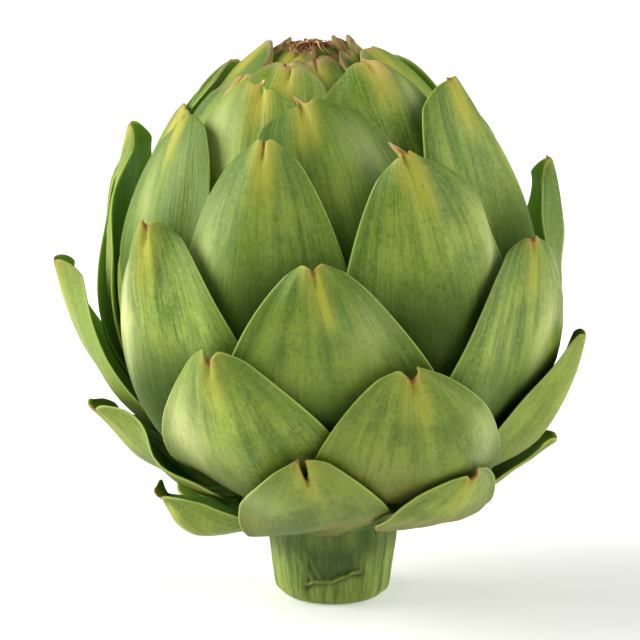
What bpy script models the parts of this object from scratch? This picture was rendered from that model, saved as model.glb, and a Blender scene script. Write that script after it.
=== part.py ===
"""Globe artichoke standing on its cut stem, at real size.

The head is a spiral of bracts, the scale-like leaves of the flower bud.  Each bract grows from the heart,
runs up the outside of the bracts that are younger than it and ends in a round-shouldered tip with a spine.
Every direction from the head's centre crosses the bracts in the order in which they grew, so a bract's
distance from the centre is the core's radius, plus the thickness of each younger bract under it, plus its
own lift where the tip stands away.  That one rule keeps the bracts clear of each other.
"""

import math
from collections import namedtuple

import bmesh
import bpy
import numpy as np

MM = 0.001
UP = np.array([0.0, 0.0, 1.0])
SEED = 11

# Stem, from the cut face at the origin up to the heart.
STEM_CUT_RADIUS = 0.0119
STEM_TOP_RADIUS = 0.0138
STEM_TOP_HEIGHT = 0.0140
STEM_SIDES = 36
STEM_ROWS = 6
CUT_ROUNDING = 0.0022
CUT_ROUNDING_HEIGHT = 0.0030
STEM_RIBS = 9
STEM_RIB_HEIGHT = 0.00025
SCAR_HEIGHT = 0.0062
SCAR_HALF_WIDTH = 0.0060
SCAR_HALF_HEIGHT = 0.0016
SCAR_RISE = 0.0009
RELIEF_FROM = 0.5
NECK_HEIGHT = 0.0165
HEART_FOOT_LATITUDE = -69
HEART_ROWS = 6

# The head sits a little askew on its neck, which bends over this part of its height.
HEAD_TILT = -3.0
NECK_BEND = 0.6

# Core: heart below, bud above, parted by a flat plane.
CENTRE_HEIGHT = 0.0575
CORE_RADIUS = 0.0366
CORE_TAPER = 0.0080
CORE_POINT = 0.0110
CORE_TIP = 0.0020
CORE_BASE = 0.0210
HEART_TOP_HEIGHT = 0.0345
PIECE_GAP = 0.0004
BUD_SIDES = 30
BUD_ROWS = 10
BUD_TOP_LATITUDE = 84

# Spiral of bracts, counted from the lowest.
DIVERGENCE = -137.508
FIRST_AZIMUTH = 44.5
LOOSE_BRACTS = 44
BUD_BRACTS = 13
CHANCE = (2.5, 1.0, 0.4, 3.0)
WIDTH_CHANCE = 0.04

# Blade of a bract: how deep the bracts lie at its tip, its flesh, outline and grid.
STACK_DEPTH = 0.010
LAYER_GAP = 0.00095
THINNEST = 0.0006
CROWN = 0.8
ARCH_BLUNTNESS = 0.8
NARROWEST_ROOM = 0.45
FADE_BELOW = 0.16
FADE_ABOVE = 0.25
FURTHEST = 100
SPINE_WIDTH = 0.1
END_FROM = 0.72
BUD_SINK = 0.0020
WIDE_COLUMNS = 6
NARROW_COLUMNS = 4
NARROW_FROM = 37
FEWEST_ROWS = 6
ROW_LENGTH = 0.0092
BUD_ROW_LENGTH = 0.0130

# Along the spiral, as (place, value) stops read in between: degrees, then millimetres.
ROOT_LATITUDE = ((0, -63), (1, -67), (43, -18), (44, 5), (59, 35))
TIP_LATITUDE = ((0, -26), (5, -25), (7, -12), (10, 2), (13, 18), (16, 27), (20, 40), (24, 49), (28, 58),
                (32, 66), (36, 73), (43, 80), (52, 86), (59, 93))
TIP_LIFT = ((0, 2), (5, 3), (9, 4), (14, 7), (18, 6), (22, 4.5), (26, 3), (30, 1.5), (34, 0.8), (44, 0.5),
            (59, 0))
BLADE_WIDTH = ((0, 33), (6, 38), (8, 47), (16, 50), (22, 47), (28, 41), (34, 38), (38, 32), (44, 21),
               (59, 11))
ARCH_POWER = ((0, 1.9), (8, 1.7), (16, 1.5), (24, 1.6), (28, 2.0), (40, 2.2), (59, 2.0))
FOOT_WIDTH = ((0, 0.30), (6, 0.45), (10, 0.55), (16, 0.62), (59, 0.62))
NARROWEST = ((0, 0.12), (20, 0.10), (24, 0.14), (26, 0.34), (28, 0.24), (32, 0.34), (44, 0.42),
             (59, 0.45))
TIP_ROUNDING = ((0, 2.0), (20, 2.2), (26, 3.0), (34, 5.0), (44, 4.5), (59, 3.0))
TAPER_LENGTH = ((0, 22), (8, 25), (16, 33), (24, 38), (32, 30), (44, 20), (59, 12))
FLESH = ((0, 1), (30, 1), (44, 0.8), (59, 0.5))
SPINE_LENGTH = ((0, 0.2), (16, 0.6), (20, 2.0), (30, 2.0), (38, 1.0), (59, 1.0))

# Thickness along a bract: (share of its length, millimetres) stops, at the midline.
THICKNESS = ((0.0, 1.6), (0.15, 3.0), (0.5, 2.5), (0.8, 1.7), (1.0, 1.1))

# Bracts that grew aside from the rule: place -> (turn in degrees, climb in degrees, lift in mm, sway in
# degrees, width in parts of the rule's, belly in mm).
ASIDE = {
    0: (-4, 6, -1, -8, 0.86, 1),
    1: (-12, -18, -2, 0, 0.88, 0),
    3: (2.5, 11, -2, 0, 0.83, 0),
    4: (-9, 0, 0, 0, 0.92, 0),
    5: (8, -1, 2, 0, 1.0, 1.5),
    6: (5, -13, 0, 0, 1.1, 6),
    8: (-1, 11, -1, -6, 0.84, 0),
    9: (30, -10, 1, 0, 1.22, 3.5),
    10: (-35, -1, -1, 0, 1.0, 3),
    11: (7, 2, -2, 0, 0.91, 0),
    13: (-8, 7, -2, 6, 1.05, 0),
    14: (-18, -3, 3.5, 0, 0.82, 0),
    16: (-1, -1, -1, -4, 0.95, 0),
    17: (0, 3, 4, 0, 1.0, 1),
    18: (12, 0, 2.2, 0, 1.0, 3.5),
    19: (7, -3, 0, 0, 1.06, 0),
    21: (-5, 3, 1, -5, 1.08, 0),
    22: (-12, 3, 4, 0, 1.0, 0.5),
    23: (0, 0, 0, 0, 1.0, 0),
    24: (1, 2, 0, 1, 1.0, 0),
    26: (-10, 6, 3.2, 3, 1.16, 0.5),
    27: (18, 3, 1, -3, 0.9, 0),
    29: (-5, 2.5, 0, -6, 1.12, 0),
    30: (-8, 0, 0, 0, 1.0, 0),
    31: (0, -9, 0, 0, 1.0, 0),
    32: (13, 4, 0, -2, 0.94, 0),
    33: (0, 0, 0, 0, 0.95, 0),
    34: (-17, 4, 0.8, 0, 0.9, 0.5),
    35: (4, -8, -1, 0, 0.85, 0),
    37: (-10, 6.5, 0, 0, 0.78, 0),
    39: (-12, 2, 1, 0, 1.1, 0.8),
    40: (5, -3, 0, 0, 1.0, 0),
    42: (0, -8, 0, 0, 1.0, 0),
    43: (0, -5, 0, 0, 0.9, 0),
}

# Bracts with a cleft tip: place -> depth in mm.
CLEFTS = {3: 4.0, 11: 1.5, 37: 1.5}

LEAF_COLOUR = (0.22, 0.33, 0.07)
STEM_COLOUR = (0.25, 0.35, 0.08)
COLOUR_CHANCE = 0.15
SKIN_ROUGHNESS = 0.5

Bract = namedtuple("Bract", "place azimuth root tip half_angle taper power foot narrowest rounding flesh lift "
                            "sway belly spine length")


def along(place, stops):
    """Value at a place between the stops."""
    places, values = zip(*stops)
    return np.interp(place, places, values)


def soft_step(x):
    """0 below 0, 1 above 1 and smooth in between."""
    x = np.clip(x, 0.0, 1.0)
    return x * x * (3.0 - 2.0 * x)


def core_distance(latitude):
    """Distance from the head's centre to the core's surface: a ball with a long top and a broad base."""
    s = np.sin(latitude)
    above, below = np.maximum(s, 0.0), np.maximum(-s, 0.0)
    top = CORE_POINT * above ** 6 + CORE_TIP * above ** 60
    return CORE_RADIUS + CORE_TAPER * s + top + CORE_BASE * below ** 6


def make_spiral():
    """Every bract of the head, lowest first."""
    random = np.random.default_rng(SEED)
    spiral = []
    for place in range(LOOSE_BRACTS + BUD_BRACTS):
        chance = [random.normal(0, size) for size in CHANCE]
        turn, climb, rise, sway, broad, belly = ASIDE.get(place, (*chance, 1.0, 0.0))
        root = math.radians(along(place, ROOT_LATITUDE))
        tip = math.radians(along(place, TIP_LATITUDE) + climb)
        distance = float(core_distance(tip)) + STACK_DEPTH
        width = along(place, BLADE_WIDTH) * broad * random.uniform(1 - WIDTH_CHANCE, 1 + WIDTH_CHANCE) * MM
        length = distance * (tip - root)
        spiral.append(Bract(
            place=place,
            azimuth=math.radians(FIRST_AZIMUTH + place * DIVERGENCE + turn),
            root=root,
            tip=tip,
            half_angle=width / 2 / distance,
            taper=along(place, TAPER_LENGTH) * MM / length,
            power=along(place, ARCH_POWER),
            foot=along(place, FOOT_WIDTH),
            narrowest=along(place, NARROWEST),
            rounding=along(place, TIP_ROUNDING) * MM,
            flesh=along(place, FLESH),
            lift=max(0.0, along(place, TIP_LIFT) + rise) * MM,
            sway=math.radians(sway),
            belly=belly * MM,
            spine=(along(place, SPINE_LENGTH) - CLEFTS.get(place, 0.0)) * MM,
            length=length,
        ))
    return spiral


def half_width(bract, share):
    """Half the width at a share of the length, in parts of the widest: a pointed arch on a broad foot."""
    foot = bract.foot + (1.0 - bract.foot) * np.sin(np.pi * np.clip(share, 0.0, 0.5))
    near = np.clip((1.0 - share) / bract.taper, 0.0, 1.0)
    arch = (1.0 - (1.0 - near) ** bract.power) ** ARCH_BLUNTNESS
    return foot * (bract.narrowest + (1.0 - bract.narrowest) * arch)


def on_neck(points):
    """Points with the head tilted about the neck and the stem's foot left upright."""
    x, z = points[:, 0], points[:, 2] - NECK_HEIGHT
    angle = math.radians(HEAD_TILT) * soft_step(1.0 + z / (NECK_BEND * NECK_HEIGHT))
    c, s = np.cos(angle), np.sin(angle)
    return np.stack([c * x + s * z, points[:, 1], NECK_HEIGHT + c * z - s * x], axis=1)


def axes_of(bract):
    """Horizontal unit vectors outward along the bract's midline and sideways across it."""
    a = bract.azimuth
    outward = np.array([math.sin(a), -math.cos(a), 0.0])
    sideways = np.array([math.cos(a), math.sin(a), 0.0])
    return outward, sideways


def direction(bract, across, share):
    """Unit vectors from the centre towards points of the blade."""
    outward, sideways = axes_of(bract)
    latitude = bract.root + (bract.tip - bract.root) * share
    turn = bract.half_angle * half_width(bract, share) * across + bract.sway * share ** 2
    middle = np.cos(latitude)[:, None] * outward + np.sin(latitude)[:, None] * UP
    return np.cos(turn)[:, None] * middle + np.sin(turn)[:, None] * sideways


def rise_of(bract, share):
    """How far the midline stands off what is under it: the lift towards the tip and the belly half way."""
    return bract.lift * share ** 3 + bract.belly * np.sin(math.pi * np.clip(share, 0.0, 1.0)) ** 2


def blade_thickness(bract, share, across):
    """Thickness of the flesh: full at the midline and thin at the margins."""
    full = bract.flesh * along(share, THICKNESS) * MM + LAYER_GAP
    return np.maximum(full * np.exp(-CROWN * across ** 2) - LAYER_GAP, THINNEST)


def room_over(bract, ray):
    """Room that one bract takes from everything outside it, in each direction."""
    outward, sideways = axes_of(bract)
    latitude = np.arctan2(ray[:, 2], ray @ outward)
    share = (latitude - bract.root) / (bract.tip - bract.root)
    held = np.clip(share, 0.0, 1.0)
    width = bract.half_angle * np.maximum(half_width(bract, held), NARROWEST_ROOM)
    across = (np.arcsin(np.clip(ray @ sideways, -1.0, 1.0)) - bract.sway * held ** 2) / width
    full = bract.flesh * along(held, THICKNESS) * MM + LAYER_GAP + rise_of(bract, held)
    ends = soft_step(1.0 + share / FADE_BELOW) * soft_step(1.0 - (share - 1.0) / FADE_ABOVE)
    near = np.abs(latitude) < math.radians(FURTHEST)
    return np.where(near, full * np.exp(-CROWN * across ** 2) * ends, 0.0)


def room_under(spiral, place, ray):
    """Distance from the centre to the top of everything under a bract."""
    distance = core_distance(np.arcsin(np.clip(ray[:, 2], -1.0, 1.0))) + 2.0 * LAYER_GAP
    for other in spiral[place + 1:]:
        distance = distance + room_over(other, ray)
    return distance


def tip_drop(bract, across):
    """How far each point of the end falls short of the tip: round shoulders and a spine or a cleft."""
    shoulder = bract.rounding * (1.0 - np.sqrt(np.clip(1.0 - across ** 2, 0.0, 1.0)))
    return shoulder - bract.spine * np.exp(-(across / SPINE_WIDTH) ** 2)


def blade_points(spiral, bract, across, share, outer):
    """Points of the blade's inner face, or of its outer face."""
    ending = soft_step((share - END_FROM) / (1.0 - END_FROM))
    ray = direction(bract, across, share - ending * tip_drop(bract, across) / bract.length)
    distance = room_under(spiral, bract.place, ray) + rise_of(bract, share) * np.exp(-CROWN * across ** 2)
    if outer:
        distance = distance + blade_thickness(bract, share, across)
    elif bract.place >= LOOSE_BRACTS:
        distance = distance - BUD_SINK
    return on_neck(ray * distance[:, None] + CENTRE_HEIGHT * UP)


def blade_mesh(spiral, bract):
    """A grid carried onto the inner face, with its copy carried onto the outer face and walls between."""
    row_length = ROW_LENGTH if bract.place < LOOSE_BRACTS else BUD_ROW_LENGTH
    rows = max(FEWEST_ROWS, round(bract.length / row_length))
    columns = WIDE_COLUMNS if bract.place < NARROW_FROM else NARROW_COLUMNS
    bm = bmesh.new()
    bmesh.ops.create_grid(bm, x_segments=columns, y_segments=rows, size=1.0)
    bmesh.ops.triangulate(bm, faces=bm.faces[:])
    grid = np.array([v.co for v in bm.verts])
    across, share = grid[:, 0], (grid[:, 1] + 1.0) / 2.0
    inner_verts = bm.verts[:]
    made = bmesh.ops.extrude_face_region(bm, geom=bm.faces[:], use_keep_orig=True)["geom"]
    outer_verts = [v for v in made if isinstance(v, bmesh.types.BMVert)]
    where = {tuple(v.co): i for i, v in enumerate(inner_verts)}
    order = [where[tuple(v.co)] for v in outer_verts]
    inner = blade_points(spiral, bract, across, share, False)
    outer = blade_points(spiral, bract, across, share, True)
    for vert, i in zip(outer_verts, order):
        vert.co = outer[i]
    for vert, point in zip(inner_verts, inner):
        vert.co = point
    bmesh.ops.recalc_face_normals(bm, faces=bm.faces[:])
    if bm.calc_volume(signed=True) < 0.0:
        bmesh.ops.reverse_faces(bm, faces=bm.faces[:])
    mesh = bpy.data.meshes.new("blade")
    bm.to_mesh(mesh)
    bm.free()
    return mesh


def make_material(name, colour, roughness):
    """A plain finish for one piece."""
    material = bpy.data.materials.new(name)
    material.use_nodes = True
    shader = material.node_tree.nodes["Principled BSDF"]
    shader.inputs["Base Color"].default_value = (*colour, 1.0)
    shader.inputs["Roughness"].default_value = roughness
    return material


def add_piece(name, mesh, collection, material=None):
    """An object in a collection, shaded smooth."""
    mesh.shade_smooth()
    if material:
        mesh.materials.clear()
        mesh.materials.append(material)
    piece = bpy.data.objects.new(name, mesh)
    collection.objects.link(piece)
    return piece


def core_profile(low, high, count):
    """(radius, height) points of the core between two latitudes."""
    latitude = np.linspace(low, high, count)
    distance = core_distance(latitude)
    return list(zip(distance * np.cos(latitude), CENTRE_HEIGHT + distance * np.sin(latitude)))


def latitude_at(height):
    """Latitude at which the core's surface crosses a height, found by halving."""
    low, high = -math.pi / 2, math.pi / 2
    for _ in range(40):
        middle = (low + high) / 2
        if CENTRE_HEIGHT + core_distance(middle) * math.sin(middle) < height:
            low = middle
        else:
            high = middle
    return low


def stem_radius(height):
    """Radius of the stem at a height: a straight taper with a quarter round at the cut edge."""
    taper = STEM_CUT_RADIUS + (STEM_TOP_RADIUS - STEM_CUT_RADIUS) * height / STEM_TOP_HEIGHT
    left = max(0.0, 1.0 - height / CUT_ROUNDING_HEIGHT)
    return taper - CUT_ROUNDING * (1.0 - math.sqrt(1.0 - left ** 2))


def stem_relief(points):
    """Points of the stem with its shallow ribs and, in front, the raised scar of a leaf that was cut off."""
    x, y, z = points.T
    azimuth = np.arctan2(x, -y)
    on_stem = soft_step(2.0 - z / STEM_TOP_HEIGHT) * (z > -MM)
    ribs = STEM_RIB_HEIGHT * np.cos(STEM_RIBS * azimuth)
    beside = np.clip(1.0 - (azimuth * STEM_CUT_RADIUS / SCAR_HALF_WIDTH) ** 2, 0.0, 1.0)
    scar = SCAR_RISE * beside * np.exp(-((z - SCAR_HEIGHT) / SCAR_HALF_HEIGHT) ** 2)
    radius = np.maximum(np.hypot(x, y), 1e-9)
    scale = 1.0 + on_stem * (ribs + scar) / radius * (radius > RELIEF_FROM * STEM_CUT_RADIUS)
    return np.stack([x * scale, y * scale, z], axis=1)


def turned(name, profile, sides):
    """A mesh turned about the Z axis from (radius, height) points."""
    outline = bpy.data.meshes.new(name)
    bm = bmesh.new()
    verts = [bm.verts.new((r, 0.0, z)) for r, z in profile]
    for a, b in zip(verts, verts[1:]):
        bm.edges.new((a, b))
    bm.to_mesh(outline)
    bm.free()
    guide = bpy.data.objects.new(name, outline)
    bpy.context.scene.collection.objects.link(guide)
    screw = guide.modifiers.new("turn", "SCREW")
    screw.steps = screw.render_steps = sides
    screw.use_merge_vertices = True
    screw.merge_threshold = 1e-6
    mesh = bpy.data.meshes.new_from_object(guide.evaluated_get(bpy.context.evaluated_depsgraph_get()))
    bpy.data.objects.remove(guide)
    return mesh


def place_points(mesh, rule):
    """Carry every point of a mesh by a rule on arrays of points."""
    points = np.empty(len(mesh.vertices) * 3)
    mesh.vertices.foreach_get("co", points)
    mesh.vertices.foreach_set("co", rule(points.reshape(-1, 3)).ravel())
    mesh.update()


def keep_largest_body(mesh):
    """Drop the loose scraps and the walls of sealed hollows that a union leaves."""
    bm = bmesh.new()
    bm.from_mesh(mesh)
    left = set(bm.verts)
    bodies = []
    while left:
        body = set()
        front = {left.pop()}
        while front:
            body |= front
            front = {e.other_vert(v) for v in front for e in v.link_edges} - body
        left -= body
        bodies.append(body)
    bodies.sort(key=len)
    bmesh.ops.delete(bm, geom=[v for body in bodies[:-1] for v in body], context="VERTS")
    bm.to_mesh(mesh)
    bm.free()


def fused_mesh(name, core, parts):
    """The core and all the parts as one solid; their own objects go."""
    union = core.modifiers.new("union", "BOOLEAN")
    union.operation = "UNION"
    union.operand_type = "COLLECTION"
    union.collection = parts
    bpy.context.view_layer.update()
    shape = core.evaluated_get(bpy.context.evaluated_depsgraph_get())
    mesh = bpy.data.meshes.new_from_object(shape)
    mesh.name = name
    keep_largest_body(mesh)
    for item in [core] + list(parts.objects):
        bpy.data.objects.remove(item)
    bpy.data.collections.remove(parts)
    return mesh


def make_stem(artichoke):
    """The stem and the heart that it widens into, one turned piece."""
    profile = [(0.0, HEART_TOP_HEIGHT)]
    profile += core_profile(latitude_at(HEART_TOP_HEIGHT), math.radians(HEART_FOOT_LATITUDE), HEART_ROWS)
    profile += [(STEM_TOP_RADIUS, NECK_HEIGHT)]
    heights = np.linspace(STEM_TOP_HEIGHT, CUT_ROUNDING_HEIGHT, STEM_ROWS)
    profile += [(stem_radius(height), height) for height in (*heights, CUT_ROUNDING_HEIGHT / 4, 0.0)]
    profile.append((0.0, 0.0))
    stem = turned("stem", profile, STEM_SIDES)
    place_points(stem, stem_relief)
    place_points(stem, on_neck)
    add_piece("stem", stem, artichoke, make_material("stem", STEM_COLOUR, SKIN_ROUGHNESS))


def make_bud(spiral, artichoke):
    """The closed bud: the core's upper part fused with the innermost bracts."""
    foot = HEART_TOP_HEIGHT + PIECE_GAP
    profile = [(0.0, CENTRE_HEIGHT + float(core_distance(math.pi / 2)))]
    profile += core_profile(math.radians(BUD_TOP_LATITUDE), latitude_at(foot), BUD_ROWS)
    profile += [(0.0, foot)]
    core_mesh = turned("core", profile, BUD_SIDES)
    place_points(core_mesh, on_neck)
    core = add_piece("core", core_mesh, artichoke)
    parts = bpy.data.collections.new("bud_parts")
    for bract in spiral[LOOSE_BRACTS:]:
        add_piece(f"inner_{bract.place}", blade_mesh(spiral, bract), parts)
    mesh = fused_mesh("bud", core, parts)
    add_piece("bud", mesh, artichoke, make_material("bud", STEM_COLOUR, SKIN_ROUGHNESS))


def make_bracts(spiral, artichoke):
    """Every loose bract as a piece of its own, numbered from the lowest."""
    tones = np.random.default_rng(SEED)
    red, green, blue = LEAF_COLOUR
    for bract in spiral[:LOOSE_BRACTS]:
        name = f"bract_{bract.place + 1:02d}"
        tone = tones.uniform(1 - COLOUR_CHANCE, 1 + COLOUR_CHANCE)
        material = make_material(name, (red * tone, green * tone, blue), SKIN_ROUGHNESS)
        add_piece(name, blade_mesh(spiral, bract), artichoke, material)


def clear_scene():
    """Start from an empty scene."""
    for item in list(bpy.data.objects):
        bpy.data.objects.remove(item)


def main():
    """Build the artichoke in a collection of its own."""
    clear_scene()
    artichoke = bpy.data.collections.new("artichoke")
    bpy.context.scene.collection.children.link(artichoke)
    spiral = make_spiral()
    make_stem(artichoke)
    make_bud(spiral, artichoke)
    make_bracts(spiral, artichoke)


main()
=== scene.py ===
"""Dresses the globe artichoke's frame: fine leaves, bud, stem, dry tuft and a plain studio.

A leaf's place is its number along the spiral, from 0 for the lowest, so leaf_01 is at place 0.
"""

import math
from collections import namedtuple

import bpy
import numpy as np
from bpy.props import FloatProperty, FloatVectorProperty, IntProperty, PointerProperty
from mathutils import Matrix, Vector


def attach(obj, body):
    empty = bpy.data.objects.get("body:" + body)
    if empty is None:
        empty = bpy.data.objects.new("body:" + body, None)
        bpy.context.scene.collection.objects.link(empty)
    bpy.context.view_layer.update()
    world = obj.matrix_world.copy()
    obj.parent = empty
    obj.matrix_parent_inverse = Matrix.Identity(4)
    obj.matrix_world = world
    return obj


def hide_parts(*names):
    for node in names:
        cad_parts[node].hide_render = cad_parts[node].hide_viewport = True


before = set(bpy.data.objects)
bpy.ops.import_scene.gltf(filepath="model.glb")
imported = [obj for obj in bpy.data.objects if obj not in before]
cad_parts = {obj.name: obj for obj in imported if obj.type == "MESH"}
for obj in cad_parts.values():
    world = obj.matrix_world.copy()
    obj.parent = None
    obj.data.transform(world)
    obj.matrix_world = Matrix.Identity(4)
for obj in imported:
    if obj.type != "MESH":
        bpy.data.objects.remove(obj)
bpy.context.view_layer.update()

bl_info = {
    "name": "Globe artichoke",
    "version": (1, 0, 0),
    "blender": (4, 5, 0),
    "location": "3D View > Sidebar > Artichoke",
    "description": "Dresses a globe artichoke with fine leaves, a bud, a stem and a studio",
    "category": "Object",
}

MM = 0.001
UP = np.array([0.0, 0.0, 1.0])

# Sizes that the frame's solids are built on, in metres and degrees.
SEED = 11
STEM_CUT_RADIUS, STEM_TOP_RADIUS, STEM_TOP_HEIGHT = 0.0119, 0.0138, 0.0140
CUT_ROUNDING, CUT_ROUNDING_HEIGHT = 0.0022, 0.0030
NECK_HEIGHT, HEAD_TILT = 0.0165, -3.0
CENTRE_HEIGHT, CORE_RADIUS, CORE_TAPER = 0.0575, 0.0366, 0.0080
CORE_POINT, CORE_TIP, CORE_BASE = 0.0110, 0.0020, 0.0210
HEART_TOP_HEIGHT, PIECE_GAP = 0.0345, 0.0004
DIVERGENCE, FIRST_AZIMUTH = -137.508, 44.5
LOOSE_BRACTS, BUD_BRACTS = 44, 13
STACK_DEPTH, LAYER_GAP, THINNEST = 0.010, 0.00095, 0.0006

# Parts that the solids are built on: how a leaf thins to its sides, the least width that it holds clear, how far
# past its root and tip it does so, and how much of the neck bends.
CROWN, LEAST_ROOM, ROOT_FADE, TIP_FADE, NECK_BEND = 0.8, 0.45, 0.16, 0.25, 0.6

# Spreads of chance: turn, climb, lift and sway as in ASIDE, for leaves that it doesn't name, and width in parts.
CHANCE, WIDTH_CHANCE = (2.5, 1.0, 0.4, 3.0), (0.96, 1.04)

# Widths of a leaf's fine forms, in parts of its half width, then sizes of its relief in millimetres.
LOBE_WIDTH, THORN_WIDTH, FURROW_WIDTH, LEAN_WIDTH, SLIM_WIDTH, SPINE_WIDTH = 0.38, 0.07, 0.16, 0.05, 0.06, 0.08
MARGIN_ROUNDING, FLUTE_FADE, FURROW_DEPTH, DEEPEST_CLEFT, LONG_SPINE = 0.7, 3.0, 0.3, 2.5, 0.7

# Sizes of the stem's scar in millimetres, and its slope.
SCAR_HEIGHT, SCAR_HALF_WIDTH, SCAR_SLOPE, CORD_RISE = 6.2, 6.0, 0.27, 0.32
# Ribs of the stem: how many go round it, their phase and their share of the highest.
RIBS = ((9.0, 0.0, 1.0), (23.0, 1.0, 0.5), (41.0, 2.0, 0.35))

# Sizes of the bud and its tuft, in metres and degrees, and how many points go round each piece.
BUD_SINK, TUFT_CLEARANCE, TOP_DISTANCE = 0.0020, 0.0036, 0.062
HEART_BOTTOM_LATITUDE, CORE_TOP_LATITUDE = -69, 88
STEM_SIDES, CORE_SIDES, FIBRE_SIDES = 180, 72, 6

# The studio in metres, the sensor in millimetres, and the suns: name -> (a point that it shines from, width in
# degrees, share of the key light).
FLOOR_REACH, FLOOR_POINTS = 4.0, 9
CAMERA_TARGET, SENSOR_WIDTH = (-0.00277, 0.0, 0.0602), 36.0
SUNS = {"left": ((-0.92, 0.02, 0.48), 46, 1.0), "right": ((0.88, -0.10, 0.46), 50, 0.5)}
SUN_COLOUR = (1.0, 0.99, 0.97)

# Along the spiral of leaves, as (place, value) stops read in between: degrees, then millimetres or parts.
ROOT_LATITUDE = ((0, -63), (1, -67), (43, -18), (44, 5), (59, 35))
TIP_LATITUDE = ((0, -26), (5, -25), (7, -12), (10, 2), (13, 18), (16, 27), (20, 40), (24, 49), (28, 58),
                (32, 66), (36, 73), (43, 80), (52, 86), (59, 93))
TIP_LIFT = ((0, 2), (5, 3), (9, 4), (14, 7), (18, 6), (22, 4.5), (26, 3), (30, 1.5), (34, 0.8), (44, 0.5), (59, 0))
BLADE_WIDTH = ((0, 33), (6, 38), (8, 47), (16, 50), (22, 47), (28, 41), (34, 38), (38, 32), (44, 21), (59, 11))
ARCH_POWER = ((0, 1.9), (8, 1.7), (16, 1.5), (24, 1.6), (26, 2.3), (28, 2.3), (29, 2.0), (32, 2.2), (59, 2.2))
FOOT_WIDTH = ((0, 0.30), (6, 0.45), (10, 0.55), (16, 0.62), (59, 0.62))
NARROWEST = ((0, 0.12), (20, 0.10), (24, 0.14), (26, 0.38), (28, 0.26), (32, 0.42), (44, 0.48), (59, 0.50))
TIP_ROUNDING = ((0, 2.0), (20, 2.2), (26, 3.0), (34, 5.0), (44, 4.5), (59, 3.0))
TAPER_LENGTH = ((0, 22), (8, 25), (16, 33), (24, 38), (29, 33), (31, 22), (44, 15), (59, 11))
FLESH = ((0, 1), (30, 1), (44, 0.8), (59, 0.5))
# Along one leaf, as (share, thickness in millimetres) stops.
THICKNESS = ((0.0, 1.6), (0.15, 3.0), (0.5, 2.5), (0.8, 1.7), (1.0, 1.1))

# Leaves that grew aside from the rule: place -> (turn and climb in degrees, lift in mm, sway in degrees, width in
# parts of the rule's, belly in mm).
ASIDE = {
    0: (-4, 6, -1, -8, 0.86, 1),
    1: (-12, -18, -2, 0, 0.88, 0),
    3: (2.5, 11, -2, 0, 0.83, 0),
    4: (-9, 0, 0, 0, 0.92, 0),
    5: (8, -1, 2, 0, 1.0, 1.5),
    6: (5, -13, 0, 0, 1.1, 6),
    8: (-1, 11, -1, -6, 0.84, 0),
    9: (30, -10, 1, 0, 1.22, 3.5),
    10: (-35, -1, -1, 0, 1.0, 3),
    11: (7, 2, -2, 0, 0.91, 0),
    13: (-8, 7, -2, 6, 1.05, 0),
    14: (-18, -3, 3.5, 0, 0.82, 0),
    16: (-1, -1, -1, -4, 0.95, 0),
    17: (0, 3, 4, 0, 1.0, 1),
    18: (12, 0, 2.2, 0, 1.0, 3.5),
    19: (7, -3, 0, 0, 1.06, 0),
    21: (-5, 3, 1, -5, 1.08, 0),
    22: (-12, 3, 4, 0, 1.0, 0.5),
    23: (0, 0, 0, 0, 1.0, 0),
    24: (1, 2, 0, 1, 1.0, 0),
    26: (-10, 6, 3.2, 3, 1.16, 0.5),
    27: (18, 3, 1, -3, 0.9, 0),
    29: (-5, 2.5, 0, -6, 1.12, 0),
    30: (-8, 0, 0, 0, 1.0, 0),
    31: (0, -9, 0, 0, 1.0, 0),
    32: (13, 1.5, 0, -2, 0.84, 0),
    33: (0, 0, 0, 0, 0.95, 0),
    34: (-17, 1.5, 0.8, 0, 0.88, 0.5),
    35: (4, -8, -1, 0, 0.85, 0),
    37: (-10, 1.5, 0, 0, 0.70, 0),
    39: (-12, 2, 1, 0, 1.1, 0.8),
    40: (5, -3, 0, 0, 1.0, 0),
    42: (0, -8, 0, 0, 1.0, 0),
    43: (0, -5, 0, 0, 0.9, 0),
    45: (0, -1, 0, 0, 1.0, 0),
    50: (0, -3, 0, 0, 1.1, 0),
    55: (0, -3, 0, 0, 1.0, 0),
}

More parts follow.
